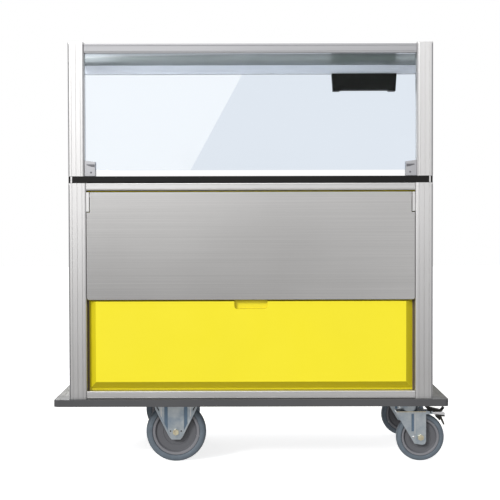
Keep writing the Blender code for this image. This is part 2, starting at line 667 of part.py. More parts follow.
def build_brake_pedal(name, x, y, pivot, wheel):
    """A foot lever on the fork, whose pad comes down on the tyre."""
    pedal = rod(name, (pivot.x, y - 0.0220, pivot.z), (pivot.x, y + 0.0220, pivot.z), 0.005, BLACK)
    lever = [(0.0560, 0.1795), (0.0620, 0.1795), (0.1063, 0.1695), (0.1150, 0.1790), (0.1180, 0.1775),
             (0.1085, 0.1655), (0.0900, 0.1660), (0.0740, 0.1620), (0.0660, 0.1620), (0.0640, 0.1700),
             (0.0560, 0.1765)]
    bar = [(0.0660, 0.1640), (0.1100, 0.1642), (0.1182, 0.1615), (0.1182, 0.1485), (0.1050, 0.1500),
           (0.0740, 0.1585), (0.0680, 0.1605)]
    tail = [(0.0990, 0.1530), (0.1060, 0.1510), (0.1130, 0.1370), (0.1184, 0.1215), (0.1152, 0.1200),
            (0.1075, 0.1345), (0.1000, 0.1440)]
    blades = [slab("blade", [[(x + px, pz) for px, pz in outline]], "Y", y - half, y + half, BLACK)
              for outline, half in ((lever, 0.018), (bar, 0.020), (tail, 0.015))]
    pin = rod("pin", (pivot.x, y - 0.0285, pivot.z), (pivot.x, y + 0.0285, pivot.z), 0.0025, ZINC)
    lean = math.radians(46.0)
    pad = box("pad", (SWIVEL_RADIUS + 0.004, -0.014, -0.008), (SWIVEL_RADIUS + 0.018, 0.014, 0.009),
              BLACK)
    pad.data.transform(Matrix.Translation(wheel) @ Matrix.Rotation(-lean, 4, "Y"))
    fuse(pedal, *blades, pin, pad)
    set_origin(pedal, pivot)


def build_trolley():
    clear_scene()
    build_platform()
    build_lower_frame()
    build_front_panel()
    build_side_panels()
    build_cabinet_inside()
    build_worktop()
    build_pans()
    build_upper_frame()
    build_glazing()
    build_control_box()
    build_tray_flap()
    build_doors()
    build_fixed_castor("fixed_castor_front", FIXED_X, -CASTOR_LINE)
    build_fixed_castor("fixed_castor_rear", REAR_FIXED_X, CASTOR_LINE)
    build_swivel_castor("swivel_castor_front", KINGPIN_X, -CASTOR_LINE)
    build_swivel_castor("swivel_castor_rear", KINGPIN_X, CASTOR_LINE)


build_trolley()
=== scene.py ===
"""Looks of the food service trolley: its materials, fine pieces, studio and camera.

Metres, in the CAD model's frame: +X along the trolley, -Y the guests' side, +Z up.
"""
import math

import bmesh
import bpy
from mathutils import Matrix, Vector


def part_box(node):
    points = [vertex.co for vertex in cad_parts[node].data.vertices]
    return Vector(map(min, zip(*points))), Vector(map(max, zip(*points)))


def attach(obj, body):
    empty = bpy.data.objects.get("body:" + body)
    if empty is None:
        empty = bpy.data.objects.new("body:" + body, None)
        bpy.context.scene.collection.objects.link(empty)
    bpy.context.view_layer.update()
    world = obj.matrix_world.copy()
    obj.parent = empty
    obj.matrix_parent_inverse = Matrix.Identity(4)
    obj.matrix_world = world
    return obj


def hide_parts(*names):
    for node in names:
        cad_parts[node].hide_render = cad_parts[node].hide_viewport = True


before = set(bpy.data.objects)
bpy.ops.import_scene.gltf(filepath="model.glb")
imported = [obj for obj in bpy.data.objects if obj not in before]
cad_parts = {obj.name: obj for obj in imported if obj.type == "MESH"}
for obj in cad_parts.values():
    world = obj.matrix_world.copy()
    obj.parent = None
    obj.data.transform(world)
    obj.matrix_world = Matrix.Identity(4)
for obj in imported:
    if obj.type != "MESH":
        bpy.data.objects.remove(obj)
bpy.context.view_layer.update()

# Camera: its place, its angles in degrees and its lens in millimetres
CAMERA_PLACE = (-0.001, -5.0382, 0.8382)
CAMERA_PITCH = 1.6045            # below the horizon
CAMERA_YAW = 0.019
CAMERA_ROLL = -0.1362
CAMERA_LENS = 102.99

# Studio
WHITE = (1.0, 1.0, 1.0)
FLOOR_HALF = 16.0                # half the floor's side
FLOOR_GLOW = 0.75                # what the floor's paper shines by itself
CARD_Y = 3.0                     # where the card stands, behind the trolley
CARD_GLOW = 1.13
CARD_TINT = (1.0, 0.975, 0.94)
SUN_HEADING = Vector((0.5, 0.75, -0.45))
WORLD_LOW = (0.46, 0.453, 0.447)
WORLD_MIDDLE = (0.57, 0.57, 0.58)
WORLD_HIGH = (0.62, 0.63, 0.65)

# Colours that more than one surface uses
ALUMINIUM = (0.72, 0.712, 0.705)
STEEL = (0.575, 0.568, 0.558)
CANOPY_GREEN = (0.090, 0.114, 0.090)
YELLOW = (0.90, 0.775, 0.022)
# The yellow in painted shade, for the front's turned faces and its recess
YELLOW_PAINTED_SHADE = (0.60, 0.50, 0.008)
GLASS = (0.75, 0.81, 0.885)

# Scales that stretch a noise into lines
LENGTHWISE = (1.2, 60.0, 420.0)  # brush lines along X
ROLLED = (1.0, 260.0, 260.0)     # drawing lines along X
UPRIGHT = (260.0, 260.0, 1.0)    # drawing lines along Z
ACROSS = (260.0, 1.0, 260.0)     # drawing lines along Y
EVEN = (120.0, 120.0, 120.0)     # a fine grain with no direction
FLAT = (1, 1, 1)                 # no stretch

# Fine detail
EDGE = 0.0008                    # rounding of folded sheet and sawn sections
MOULDED_EDGE = 0.002             # rounding of moulded parts
SHARP = math.radians(32)         # pieces keep an edge sharp from this angle
CAD_SHARP = math.radians(30)     # CAD nodes are rounded or kept crisp from this angle
ENDS = ("front", "rear")
HANDS = (("left", -1), ("right", 1))
WHEEL_STEPS = 96
ALONG_Y = (0, 1, 0)
FORK_FACE = 0.030                # from a fixed castor's middle to the face of its fork's spine
FORK_CHEEK = 0.0274              # from a castor's middle to the flat of its fork's cheek
WELD_GAP = 0.00001               # points this close are one point

# ---------------------------------------------------------------- materials

class Surface:
    """A Principled material with short calls for the textures that drive it."""

    def __init__(self, name, colour, roughness, metallic=0.0, **sockets):
        self.material = bpy.data.materials.new(name)
        self.material.use_nodes = True
        self.tree = self.material.node_tree
        self.shader = self.tree.nodes["Principled BSDF"]
        self.shader.inputs["Base Color"].default_value = (*colour, 1.0)
        self.shader.inputs["Roughness"].default_value = roughness
        self.shader.inputs["Metallic"].default_value = metallic
        for socket, value in sockets.items():
            self.shader.inputs[socket.replace("_", " ")].default_value = value
        self.place = self.tree.nodes.new("ShaderNodeTexCoord").outputs["Object"]

    def noise(self, scale, stretch=FLAT, detail=3.0, roughness=0.5):
        mapping = self.tree.nodes.new("ShaderNodeMapping")
        mapping.inputs["Scale"].default_value = stretch
        self.tree.links.new(self.place, mapping.inputs["Vector"])
        noise = self.tree.nodes.new("ShaderNodeTexNoise")
        noise.inputs["Scale"].default_value = scale
        noise.inputs["Detail"].default_value = detail
        noise.inputs["Roughness"].default_value = roughness
        self.tree.links.new(mapping.outputs["Vector"], noise.inputs["Vector"])
        return noise.outputs["Fac"]

    def ramp(self, value, stops):
        """Colours over a value: stops are (position, colour) pairs."""
        ramp = self.tree.nodes.new("ShaderNodeValToRGB")
        for index, (position, colour) in enumerate(stops):
            if index < 2:
                stop = ramp.color_ramp.elements[index]
                stop.position = position
            else:
                stop = ramp.color_ramp.elements.new(position)
            stop.color = (*colour, 1.0)
        self.tree.links.new(value, ramp.inputs["Fac"])
        return ramp.outputs["Color"]

    def spread(self, value, low, high):
        """Map a noise, which is mostly between 0.3 and 0.7, to the range low to high."""
        return self.span(value, 0.3, 0.7, low, high)

    def axis(self, name, coordinate=None):
        """One component of the object's own coordinates, or of another vector."""
        split = self.tree.nodes.new("ShaderNodeSeparateXYZ")
        self.tree.links.new(coordinate or self.place, split.inputs["Vector"])
        return split.outputs[name]

    def normal(self):
        """The direction a face looks, in the object's own axes."""
        return self.tree.nodes.new("ShaderNodeTexCoord").outputs["Normal"]

    def span(self, value, start, end, low=0.0, high=1.0):
        """Map a value so that start gives low and end gives high."""
        span = self.tree.nodes.new("ShaderNodeMapRange")
        numbers = {"From Min": start, "From Max": end, "To Min": low, "To Max": high}
        for socket, number in numbers.items():
            span.inputs[socket].default_value = number
        self.tree.links.new(value, span.inputs["Value"])
        return span.outputs["Result"]

    def join(self, operation, *values):
        """A Math node over sockets and plain numbers."""
        node = self.tree.nodes.new("ShaderNodeMath")
        node.operation = operation
        for socket, value in zip(node.inputs, values):
            if isinstance(value, float):
                socket.default_value = value
            else:
                self.tree.links.new(value, socket)
        return node.outputs["Value"]

    def blend(self, share, base, other):
        """A mix of two colours: share 0 gives the base, 1 the other."""
        node = self.tree.nodes.new("ShaderNodeMix")
        node.data_type = "RGBA"
        self.tree.links.new(share, node.inputs["Factor"])
        self.tree.links.new(base, node.inputs["A"])
        self.tree.links.new(other, node.inputs["B"])
        return node.outputs["Result"]

    def colour(self, output):
        self.tree.links.new(output, self.shader.inputs["Base Color"])
        return self

    def roughness(self, output):
        self.tree.links.new(output, self.shader.inputs["Roughness"])
        return self

    def bump(self, height, strength, distance):
        bump = self.tree.nodes.new("ShaderNodeBump")
        bump.inputs["Strength"].default_value = strength
        bump.inputs["Distance"].default_value = distance
        self.tree.links.new(height, bump.inputs["Height"])
        self.tree.links.new(bump.outputs["Normal"], self.shader.inputs["Normal"])
        return self


def shades(colour, spread):
    """A darker and a lighter version of a colour, for a ramp."""
    dark = tuple(c * (1 - spread) for c in colour)
    light = tuple(min(1.0, c * (1 + spread)) for c in colour)
    return dark, light


def brushed(name, colour, roughness, stretch, spread=0.10, anisotropic=0.5, shaded_foot=None, depth=0.12):
    """Brushed steel or aluminium, with fine scratches along the axis that stretch scales least.

    shaded_foot is (height, height, share): painted shade darkens the metal to that share of its colour
    from the first height down to the second.
    """
    surface = Surface(name, colour, roughness, 1.0, Anisotropic=anisotropic)
    lines = surface.noise(1.0, stretch, 6.0, 0.65)
    dark, light = shades(colour, spread)
    sheen = surface.ramp(lines, [(0.3, dark), (0.7, light)])
    if shaded_foot:
        start, end, share = shaded_foot
        shaded_dark, shaded_light = (tuple(c * share for c in shade) for shade in (dark, light))
        darker_tone = surface.ramp(lines, [(0.3, shaded_dark), (0.7, shaded_light)])
        # Painted shade: the colour darkens from the first height down to the second
        sheen = surface.blend(surface.span(surface.axis("Z"), start, end), sheen, darker_tone)
    surface.colour(sheen)
    cloud = surface.noise(2.5, FLAT, 2.0)
    surface.roughness(surface.span(cloud, 0.1, 0.9, roughness - 0.04, roughness + 0.06))
    return surface.bump(lines, depth, 0.0004).material


def plastic(name, colour, roughness, grain, spread=0.03, strength=0.15, **sockets):
    """A moulding with faint colour drift and a fine moulded grain."""
    surface = Surface(name, colour, roughness, **sockets)
    drift = surface.noise(3.0)
    dark, light = shades(colour, spread)
    surface.colour(surface.ramp(drift, [(0.35, dark), (0.65, light)]))
    surface.roughness(surface.spread(surface.noise(9.0), roughness - 0.05, roughness + 0.07))
    return surface.bump(surface.noise(grain, FLAT, 2.0), strength, 0.0003).material


def make_front():
    """The yellow front, with painted shade on its bevelled sides and in the recess around its lower field.
    """
    roughness = 0.38
    surface = Surface("yellow_front", YELLOW, roughness, Specular_IOR_Level=0.3)
    low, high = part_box("front_panel")
    facing, tilt = surface.axis("Y", surface.normal()), surface.axis("Z", surface.normal())
    depth, height = surface.axis("Y"), surface.axis("Z")
    # Painted shade on faces that turn away from the front, and more so on those that look down
    turned = surface.join("MULTIPLY", surface.span(facing, -1.0, -0.70),
                          surface.span(tilt, 0.0, -0.5, 0.5, 0.8))
    # Painted shade in the deep strips beside and under the lower field
    recess = surface.span(depth, low[1] + 0.010, low[1] + 0.019, 0.0, 0.55)
    below = surface.span(height, low[2] + 0.302, low[2] + 0.290)
    across = surface.join("ABSOLUTE", surface.axis("X"))
    beside = surface.span(across, high[0] - 0.037, high[0] - 0.025)
    shaded_foot = surface.span(height, low[2] + 0.010, low[2] + 0.005)
    around = surface.join("MAXIMUM", surface.join("MULTIPLY", below, beside), shaded_foot)
    shaded = surface.join("MAXIMUM", turned, surface.join("MULTIPLY", recess, around))
    # Random colour drift plus the painted shade
    drift = surface.join("MULTIPLY_ADD", surface.noise(3.0), 0.2, shaded)
    dark, light = shades(YELLOW, 0.02)
    surface.colour(surface.ramp(drift, [(0.05, dark), (0.16, light), (0.75, YELLOW_PAINTED_SHADE)]))
    surface.roughness(surface.spread(surface.noise(9.0), roughness - 0.05, roughness + 0.07))
    return surface.bump(surface.noise(900.0, FLAT, 2.0), 0.12, 0.0003).material


def make_rubber():
    colour = (0.125, 0.155, 0.185)
    surface = Surface("grey_rubber", colour, 0.62)
    dust = surface.noise(45.0, FLAT, 5.0, 0.6)
    dark, light = shades(colour, 0.16)
    surface.colour(surface.ramp(dust, [(0.35, dark), (0.6, colour), (0.75, light)]))
    surface.roughness(surface.spread(surface.noise(20.0), 0.5, 0.72))
    return surface.bump(surface.noise(700.0, FLAT, 2.0), 0.2, 0.0004).material


def make_zinc():
    colour = (0.50, 0.55, 0.58)
    surface = Surface("zinc_plate", colour, 0.32, 1.0)
    cloud = surface.noise(24.0, FLAT, 4.0, 0.6)
    darker_tone, bright = (0.33, 0.40, 0.47), (0.64, 0.67, 0.68)
    surface.colour(surface.ramp(cloud, [(0.3, darker_tone), (0.5, colour), (0.75, bright)]))
    surface.roughness(surface.spread(surface.noise(60.0), 0.29, 0.40))
    return surface.bump(surface.noise(300.0), 0.08, 0.0003).material


def make_glass():
    surface = Surface("tinted_glass", GLASS, 0.0, Transmission_Weight=1.0, IOR=1.14)
    dark, light = shades(GLASS, 0.008)
    return surface.colour(surface.ramp(surface.noise(1.5), [(0.3, dark), (0.7, light)])).material


def make_canopy():
    """Lacquered sheet, plain above and grey-green below, with a painted reflection: a pale run that
    narrows to one side.
    """
    surface = Surface("canopy_sheet", CANOPY_GREEN, 0.3, Specular_IOR_Level=0.35)
    low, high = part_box("canopy_panel")
    # Painted reflection: the pale run lies in front of a line that comes forward from the left side to the
    # right
    edge = surface.span(surface.axis("X"), low[0], high[0], low[1] + 0.11, low[1] - 0.16)
    reflection_share = surface.span(surface.join("SUBTRACT", edge, surface.axis("Y")), -0.02, 0.03)
    underside = surface.ramp(reflection_share, [(0.0, CANOPY_GREEN), (1.0, (0.56, 0.56, 0.50))])
    lines = surface.noise(1.0, (2.0, 180.0, 180.0), 5.0)
    top = surface.ramp(lines, [(0.3, (0.36, 0.37, 0.365)), (0.7, (0.44, 0.45, 0.445))])
    upper = surface.span(surface.axis("Z", surface.normal()), -0.3, 0.3)
    surface.colour(surface.blend(upper, underside, top))
    surface.roughness(surface.spread(surface.noise(4.0), 0.28, 0.36))
    return surface.material


def make_passivated():
    surface = Surface("yellow_passivated", (0.72, 0.63, 0.40), 0.3, 1.0)
    darker_tone, bright = (0.60, 0.52, 0.36), (0.86, 0.80, 0.58)
    surface.colour(surface.ramp(surface.noise(90.0), [(0.3, darker_tone), (0.7, bright)]))
    surface.roughness(surface.spread(surface.noise(60.0), 0.29, 0.40))
    return surface.material


MATERIALS = {
    "post": brushed("anodised_upright", ALUMINIUM, 0.42, UPRIGHT, 0.03, 0.3),
    # The lower posts get painted shade that darkens them towards the floor
    "lower_post": brushed("anodised_lower", ALUMINIUM, 0.42, UPRIGHT, 0.03, 0.3, (0.85, 0.30, 0.76)),
    "rail": brushed("anodised_lengthwise", (0.68, 0.672, 0.665), 0.34, ROLLED, 0.03, 0.3),
    "fascia": brushed("canopy_front", (0.42, 0.42, 0.43), 0.5, ROLLED, 0.03, 0.2),
    "lip_rail": plastic("canopy_rear", (0.78, 0.775, 0.79), 0.45, 500.0, 0.02, 0.08),
    "canopy": make_canopy(),
    "side_rail": brushed("anodised_crosswise", ALUMINIUM, 0.36, ACROSS, 0.03, 0.3),
    "steel": brushed("brushed_steel", STEEL, 0.32, LENGTHWISE, 0.08, 0.5),
    "pan": brushed("drawn_steel", (0.70, 0.70, 0.69), 0.34, EVEN, 0.03, 0.0, depth=0.002),
    "yellow": plastic("yellow_moulding", YELLOW, 0.38, 900.0, 0.02, 0.12, Specular_IOR_Level=0.3),
    "front": make_front(),
    "laminate": plastic("dark_laminate", (0.010, 0.0095, 0.009), 0.42, 1200.0, 0.12,
                        Specular_IOR_Level=0.18),
    "clamp": brushed("clamp_grey", (0.46, 0.46, 0.475), 0.45, UPRIGHT, 0.04, 0.2),
    # Painted shade for the gaps beside the front moulding
    "gap_shade": plastic("brown_gap_shade", (0.10, 0.075, 0.055), 0.6, 900.0, 0.10, 0.2, Specular_IOR_Level=0.2),
    # Painted shade for the posts' grooves and the clamps' slots; the clamp screws use the same dark grey
    "groove_shade_and_screw": brushed("groove_shade_and_screw_grey", (0.17, 0.17, 0.18), 0.45, UPRIGHT, 0.06, 0.2),
    "chrome": brushed("chromed_bar", (0.86, 0.86, 0.87), 0.16, LENGTHWISE, 0.03, 0.0),
    "box": plastic("switch_housing", (0.0065, 0.006, 0.0035), 0.5, 900.0, 0.10, 0.2,
                   Specular_IOR_Level=0.15),
    "bumper": plastic("bumper_grey", (0.090, 0.090, 0.093), 0.38, 800.0, 0.08, 0.25,
                      Specular_IOR_Level=0.05),
    "black": plastic("black_plastic", (0.014, 0.013, 0.009), 0.48, 900.0, 0.10, 0.25,
                     Specular_IOR_Level=0.35),
    "rim": plastic("rim_grey", (0.110, 0.112, 0.122), 0.5, 700.0, 0.06),
    "rubber": make_rubber(),
    "lip": plastic("lip_grey", (0.20, 0.20, 0.215), 0.4, 700.0, 0.06),
    # Painted shadow, for holes, key ways and the forks' gussets
    "shadow": plastic("dark_recess", (0.02, 0.02, 0.022), 0.7, 900.0, 0.2),
    "zinc": make_zinc(),
    # Painted shade for the forks' pressed channels and swivel ribs
    "zinc_shade": brushed("zinc_painted_shade", (0.16, 0.225, 0.30), 0.36, UPRIGHT, 0.10, 0.0),
    "glass": make_glass(),
    "passivated": make_passivated(),
}


def dress(item, key):
    item.data.materials.clear()
    item.data.materials.append(MATERIALS[key])
    return item


# ---------------------------------------------------------------- CAD nodes

def weld(item):
    """Join the CAD mesh's doubled points, so that its faces shade as one surface."""
    item.data.shade_smooth()
    merge = item.modifiers.new("weld", "WELD")
    merge.merge_threshold = WELD_GAP


def flatten_shading(item):
    """Let the large faces decide the shading, so that they look flat."""
    normals = item.modifiers.new("normals", "WEIGHTED_NORMAL")
    normals.weight = 100


def soften(item, width):
    """Round a CAD node's edges with modifiers and keep its flat faces flat."""
    weld(item)
    bevel = item.modifiers.new("edge", "BEVEL")
    bevel.width = width
    bevel.segments = 2
    bevel.limit_method = "ANGLE"
    bevel.angle_limit = CAD_SHARP
    bevel.use_clamp_overlap = True
    flatten_shading(item)


def crisp(item):
    """Shade a CAD node smooth except at its sharp edges."""
    weld(item)
    split = item.modifiers.new("split", "EDGE_SPLIT")
    split.split_angle = CAD_SHARP
    flatten_shading(item)


# The first word that a CAD node's name holds gives its material
NODE_MATERIALS = (
    ("lower_post", "lower_post"), ("post", "post"), ("canopy_front", "fascia"),
    ("canopy_rear", "lip_rail"), ("canopy_panel", "canopy"), ("side_rail", "side_rail"),
    ("side_top_rail", "side_rail"), ("rail", "rail"), ("flap_hinge_block", "post"),
    ("clamp", "clamp"), ("power_button", "pan"), ("food_pan", "pan"), ("handle", "pan"),
    ("well", "steel"), ("shelf", "steel"), ("tray_flap", "steel"), ("door", "yellow"),
    ("front_panel", "front"), ("panel", "yellow"), ("worktop", "laminate"),
    ("platform", "bumper"), ("bumper", "bumper"), ("pedal", "black"), ("control_box", "box"),
    ("glass", "glass"), ("fork", "zinc"), ("top_plate", "zinc"), ("axle", "passivated"),
    ("tyre", "rubber"), ("rim", "rim"))
CRISP_NODES = ("post", "rail", "tyre", "rim", "axle", "glass_pane", "food_pan")
MOULDED = ("yellow", "bumper", "black")


def material_of(node):
    return next(key for word, key in NODE_MATERIALS if word in node)


def dress_frame():
    for name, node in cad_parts.items():
        dress(node, material_of(name))
        if any(word in name for word in CRISP_NODES):
            crisp(node)
        else:
            soften(node, MOULDED_EDGE if material_of(name) in MOULDED else EDGE)
    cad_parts["glass_pane"].visible_shadow = False


# ---------------------------------------------------------------- fine pieces

def piece(name, bm, key, body):
    """Make a visual piece from a bmesh in world coordinates and let it ride on a CAD body."""
    bmesh.ops.recalc_face_normals(bm, faces=bm.faces)
    mesh = bpy.data.meshes.new(name)
    bm.to_mesh(mesh)
    bm.free()
    mesh.shade_smooth()
    mesh.set_sharp_from_angle(angle=SHARP)
    item = bpy.data.objects.new(name, mesh)
    bpy.context.scene.collection.objects.link(item)
    dress(item, key)
    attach(item, body)
    return item


def turned(profile, centre, axis, steps=WHEEL_STEPS):
    """Turn (radius, height) points about an axis through the centre, closing the profile."""
    bm = bmesh.new()
    turn = Vector((0, 0, 1)).rotation_difference(Vector(axis)).to_matrix()
    rings = []
    for radius, height in profile:
        if radius == 0:
            rings.append([bm.verts.new(Vector(centre) + turn @ Vector((0, 0, height)))])
            continue
        ring = []
        for step in range(steps):
            angle = step * 2 * math.pi / steps
            ring.append(bm.verts.new(Vector(centre) + turn @ Vector(
                (radius * math.cos(angle), radius * math.sin(angle), height))))
        rings.append(ring)
    pairs = list(zip(rings, rings[1:]))
    if profile[0][0] > 0 and profile[-1][0] > 0:
        pairs.append((rings[-1], rings[0]))
    for upper, lower in pairs:
        for step in range(steps):
            ahead = (step + 1) % steps
            corners = [upper[step % len(upper)], upper[ahead % len(upper)],
                       lower[ahead % len(lower)], lower[step % len(lower)]]
            bm.faces.new(list(dict.fromkeys(corners)))
    return bm


def stud(radius, height, rounding):
    """Profile of a low round head, from the middle of its face outwards and down."""
    return [(0, height), (radius - rounding, height), (radius - 0.3 * rounding, height - 0.3 * rounding),
            (radius, height - rounding), (radius, 0), (0, 0)]


def middle(node):
    low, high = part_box(node)
    return (Vector(low) + Vector(high)) / 2


def mirrored(profile):
    """A wheel's profile from one side's (radius, height) points, closed over the other side."""
    return profile + [(radius, -height) for radius, height in reversed(profile)]


def make_wheel(prefix, body):
    """A moulded tyre with a worn crown and a stepped wheel centre on the castor's own axis."""
    low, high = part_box(prefix + "_tyre")
    centre, radius, half = middle(prefix + "_tyre"), (high[2] - low[2]) / 2, (high[1] - low[1]) / 2
    # Radii where the tyre meets the rim, of the rim's lip and of the raised ring on its disc
    seat, lip, wide = radius * 0.786, radius * 0.70, radius * 0.44
    # Radii of the bore and of the hub, and half the disc's thickness
    bore, hub, disc = 0.0066, 0.016, 0.0070
    tyre = [(seat, half * 0.80), (radius * 0.800, half * 0.93), (radius * 0.83, half),
            (radius * 0.89, half * 0.99), (radius * 0.925, half * 0.94), (radius * 0.955, half * 0.86),
            (radius * 0.978, half * 0.70), (radius * 0.992, half * 0.45), (radius, half * 0.15)]
    tread = piece(prefix + ".tread", turned(mirrored(tyre), centre, ALONG_Y), "rubber", body)
    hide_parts(prefix + "_tyre")
    ring = [(lip - 0.002, 0.0100), (lip - 0.001, 0.0142), (lip + 0.0008, 0.0155),
            (seat - 0.0012, 0.0158), (seat - 0.0003, 0.0150)]
    lip_ring = piece(prefix + ".lip", turned(mirrored(ring), centre, ALONG_Y), "lip", body)
    face = [(bore, 0.0220), (0.0105, 0.0220), (0.0110, 0.0212), (hub - 0.0008, 0.0212),
            (hub, 0.0202), (hub + 0.0028, disc + 0.0020), (hub + 0.005, disc),
            (wide - 0.0020, disc), (wide - 0.0012, disc + 0.0014), (wide + 0.0012, disc + 0.0014),
            (wide + 0.0020, disc), (lip - 0.006, disc), (lip - 0.0030, disc + 0.0020),
            (lip - 0.0021, 0.0100)]
    centre_piece = piece(prefix + ".centre", turned(mirrored(face), centre, ALONG_Y), "rim", body)
    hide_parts(prefix + "_rim")
    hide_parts(prefix + "_rim")


def make_castor_bolts():
    """Hexagon heads under each castor's plate."""
    head_profile = [(0, 0.0055), (0.0062, 0.0055), (0.0068, 0.0048), (0.0068, 0), (0, 0)]
    for end in ENDS:
        # label, plate's node, the plate's thickness and how far its bolts stand from its middle
        plates = (("fixed", f"fixed_castor_{end}_fork", 0.004, 0.0605, 0.0400),
                  ("swivel", f"swivel_castor_{end}_top_plate", 0.006, 0.0435, 0.0340))
        for label, node, thick, far_x, far_y in plates:
            place, level = middle(node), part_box(node)[1][2] - thick
            for index in range(4):
                x = place.x + far_x * (1 if index % 2 else -1)
                y = place.y + far_y * (1 if index // 2 else -1)
                head = turned(head_profile, (x, y, level), (0, 0, -1), 6)
                piece(f"{label}_plate_bolt_{end}_{index}", head, "zinc", "trolley")


def make_fork_details():
    """Holes of painted shadow and axle washers on the fixed forks, and a rivet on each swivel fork's
    cheek.
    """
    for end in ENDS:
        axle = middle(f"fixed_castor_{end}_axle")
        for side in (-1, 1):
            face = axle.y + side * FORK_FACE
            for across in (-1, 1):
                # Each hole is a dark disc of painted shadow
                place = (axle.x + across * 0.0178, face, axle.z + 0.0035)
                hole = turned(stud(0.0026, 0.0002, 0.0001), place, (0, side, 0), 24)
                piece(f"fork_hole_{end}_{side + 1}_{across + 1}", hole, "shadow", "trolley")
            washer = turned([(0.0108, 0), (0.0108, 0.0004), (0.0134, 0.0004), (0.0134, 0)],
                            (axle.x, face, axle.z), (0, side, 0), 36)
            piece(f"fixed_axle_washer_{end}_{side + 1}", washer, "zinc", "trolley")
        axle = middle(f"swivel_castor_{end}_axle")
        for side in (-1, 1):
            face = axle.y + side * 0.0275
            rivet = turned(stud(0.0042, 0.0016, 0.0012), (axle.x - 0.0235, face, axle.z + 0.002),
                           (0, side, 0), 24)
            piece(f"fork_rivet_{end}_{side + 1}", rivet, "pan", f"{end}_swivel")


def plate(name, outline, face, out, thick, key, body):
    """A thin plate of the given XZ outline, with a fine chamfer, standing out of a face along Y."""
    bm = bmesh.new()
    bottom = [bm.verts.new((x, face, z)) for x, z in outline]
    cover = bm.faces.new(bottom)
    grown = bmesh.ops.extrude_face_region(bm, geom=[cover])
    moved = [item for item in grown["geom"] if isinstance(item, bmesh.types.BMVert)]
    bmesh.ops.translate(bm, vec=(0, out * thick, 0), verts=moved)
    bmesh.ops.bevel(bm, geom=list(bm.edges), offset=min(0.0004, thick / 3), segments=1, affect="EDGES",
                    clamp_overlap=True)
    return piece(name, bm, key, body)


# Pressings on a fixed fork's cheek: label, material, and (distance from the axle, height) outline
# The channel and gusset are painted shade, the rib is a painted highlight
FORK_PRESSINGS = (
    ("channel", "zinc_shade", ((0.0272, 0.1065), (0.0272, 0.1900), (0.0385, 0.1900), (0.0385, 0.1290))),
    ("rib", "pan", ((0.0470, 0.1480), (0.0470, 0.1900), (0.0510, 0.1900), (0.0510, 0.1560))),
    ("gusset", "shadow", ((0.0560, 0.1680), (0.0560, 0.1760), (0.0700, 0.1960), (0.0712, 0.1940))))


def upright(left, right, bottom, top):
    """The outline of an upright rectangle."""
    return [(left, bottom), (left, top), (right, top), (right, bottom)]


def make_fork_relief():
    """Fork pressings: painted shade on channels, gussets and swivel ribs, painted highlight on fixed ribs
    and swivel folds, and the swivel crown's plated edge.
    """
    for end in ENDS:
        fixed_axle = middle(f"fixed_castor_{end}_axle")
        axle = middle(f"swivel_castor_{end}_axle")
        low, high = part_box(f"swivel_castor_{end}_fork")
        swivel = f"{end}_swivel"
        for side in (-1, 1):
            for edge in (-1, 1):
                for label, key, shape in FORK_PRESSINGS:
                    outline = [(fixed_axle.x + edge * across, z) for across, z in shape]
                    plate(f"fork_{label}_{end}_{side + 1}_{edge + 1}", outline,
                          fixed_axle.y + side * FORK_CHEEK, side, 0.0005, key, "trolley")
        for side in (-1, 1):
            rib = upright(axle.x - 0.0310, axle.x - 0.0225, 0.1012, 0.1590)
            plate(f"fork_rib_{end}_{side + 1}", rib, axle.y + side * 0.0294, side, 0.0005,
                  "zinc_shade", swivel)
            fold = upright(axle.x - 0.0205, axle.x - 0.0180, 0.0900, 0.1640)
            plate(f"fork_fold_{end}_{side + 1}", fold, axle.y + side * 0.0294, side, 0.0007,
                  "pan", swivel)
            crown = upright(low[0] + 0.0005, axle.x + 0.0176, high[2] - 0.0030, high[2] - 0.0005)
            plate(f"fork_crown_edge_{end}_{side + 1}", crown, axle.y + side * FORK_CHEEK, side, 0.0006,
                  "passivated", swivel)


def make_brake_bars():
    """The chromed bar of each brake lever, with its shaded folded edge."""
    for end in ENDS:
        pedal = f"swivel_castor_{end}_brake_pedal"
        tip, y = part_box(pedal)[1][0], middle(pedal).y
        bar = [(tip - 0.0424, 0.1576), (tip - 0.0424, 0.1644), (tip - 0.0084, 0.1647), (tip, 0.1619),
               (tip, 0.1480), (tip - 0.0134, 0.1495)]
        plate(f"brake_bar_{end}", bar, y - 0.0204, 1, 0.0408, "chrome", f"{end}_brake")
        fold = [(tip - 0.0384, 0.1569), (tip - 0.0384, 0.1582), (tip - 0.0006, 0.1535),
                (tip - 0.0006, 0.1486), (tip - 0.0134, 0.1500)]
        for side in (-1, 1):
            plate(f"brake_fold_{end}_{side + 1}", fold, y + side * 0.0203, side, 0.0005, "black",
                  f"{end}_brake")


def make_clamp_slots():
    """A dark plate of painted shade on each clamp's face, where its slot takes the glass."""
    for label, side in HANDS:
        low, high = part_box(f"glass_clamp_{label}")
        outer, inner = (low[0], high[0]) if side < 0 else (high[0], low[0])
        slot = [(outer - side * 0.0060, 0.9860), (outer - side * 0.0080, 0.9885),
                (inner + side * 0.0012, 0.9880), (inner + side * 0.0012, 0.9790),
                (inner + side * 0.0120, 0.9800)]
        plate(f"clamp_slot_{label}", slot, low[1] + 0.0002, -1, 0.0005, "groove_shade_and_screw", "trolley")


def make_clamp_screws():
    for label, side in HANDS:
        low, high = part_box(f"glass_clamp_{label}")
        place = ((low[0] + high[0]) / 2 - side * 0.004, low[1] + 0.0006, low[2] + 0.0125)
        screw = turned(stud(0.0034, 0.0012, 0.0008), place, (0, -1, 0), 24)
        piece(f"clamp_screw_{label}", screw, "groove_shade_and_screw", "trolley")


